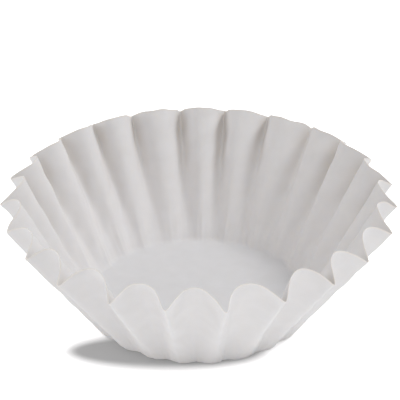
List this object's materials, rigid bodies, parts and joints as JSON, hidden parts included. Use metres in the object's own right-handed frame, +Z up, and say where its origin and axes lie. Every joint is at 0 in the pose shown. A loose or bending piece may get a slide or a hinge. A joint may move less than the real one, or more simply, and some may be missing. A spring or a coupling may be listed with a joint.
{
  "type": "paper coffee filter",
  "caption": "Flat-bottomed basket coffee filter: a round sheet of thin white paper pressed into a cup, its fluted wall flaring up from a soft bend round the bottom.",
  "frame": {"origin": "centre of the flat bottom, on its underside", "axes": "+Z up out of the open mouth; the camera of the picture looks from -Y"},
  "size_m": [0.1843, 0.187, 0.0653],
  "materials": {
    "paper": "matte creped filter paper, white"
  },
  "bodies": {
    "root": {"filter_paper": "paper"}
  },
  "joints": []
}
